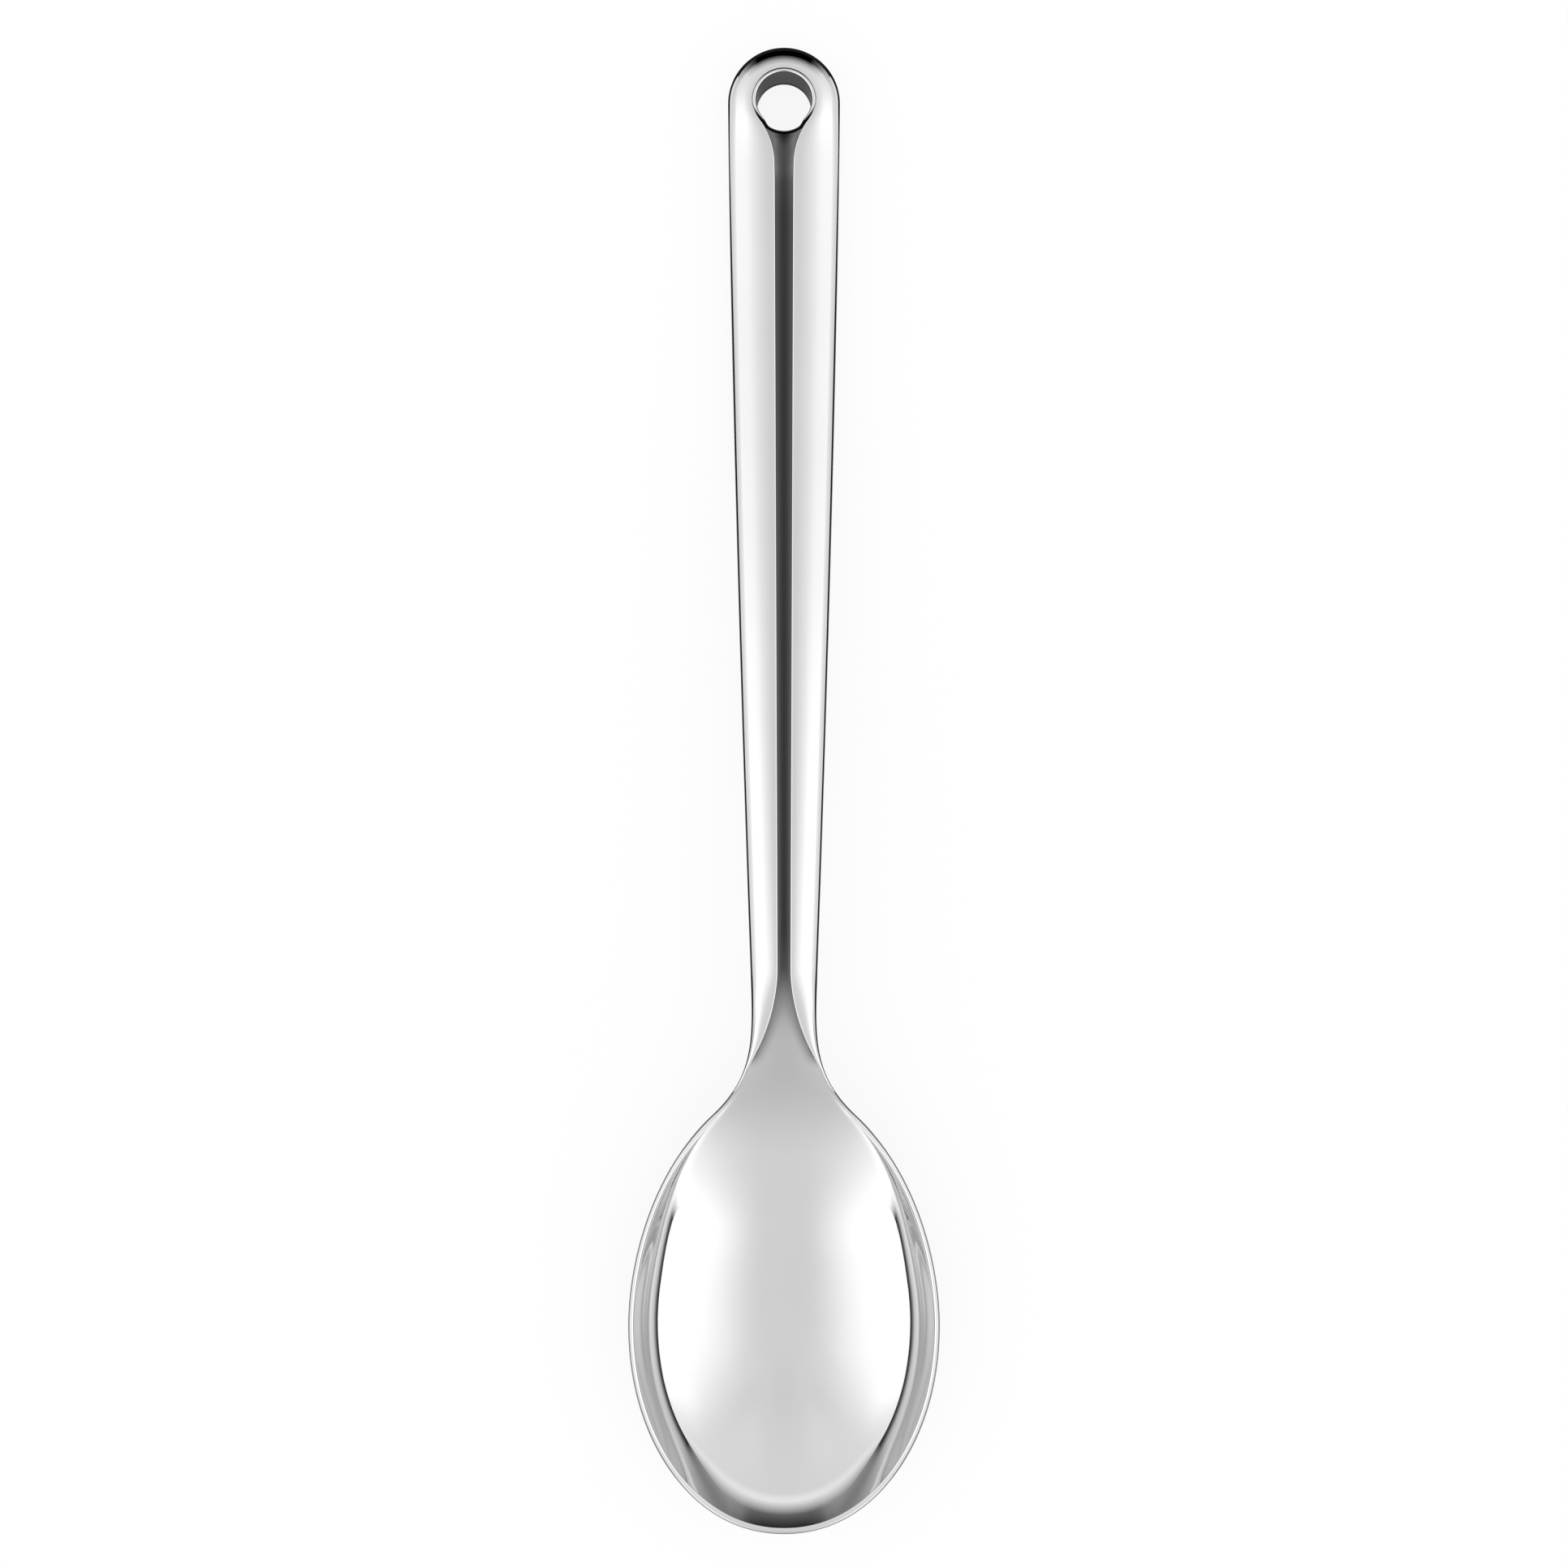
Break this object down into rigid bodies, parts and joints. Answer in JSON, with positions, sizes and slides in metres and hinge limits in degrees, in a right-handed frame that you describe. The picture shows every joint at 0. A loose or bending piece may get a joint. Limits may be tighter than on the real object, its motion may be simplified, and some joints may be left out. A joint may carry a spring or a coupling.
{
  "type": "serving spoon",
  "caption": "Long polished steel serving spoon with an egg-shaped bowl, a hollow slotted handle and a round hanging hole.",
  "frame": {"origin": "on the table under the middle of the spoon's length", "axes": "+Y from the bowl's tip to the hanging end, +Z out of the bowl, +X across"},
  "size_m": [0.0632, 0.2999, 0.0185],
  "materials": {
    "bowl_steel": "mirror-polished stainless steel",
    "handle_steel": "mirror-polished stainless steel",
    "eyelet_steel": "polished stainless steel",
    "weld_steel": "ground and buffed weld"
  },
  "bodies": {
    "root": {"bowl_and_tang": "bowl_steel", "handle_front_shell": "handle_steel", "handle_back_shell": "handle_steel", "hanging_eyelet": "eyelet_steel", "side_seam_weld": "weld_steel", "tang_weld_left": "weld_steel", "tang_weld_right": "weld_steel"}
  },
  "joints": []
}
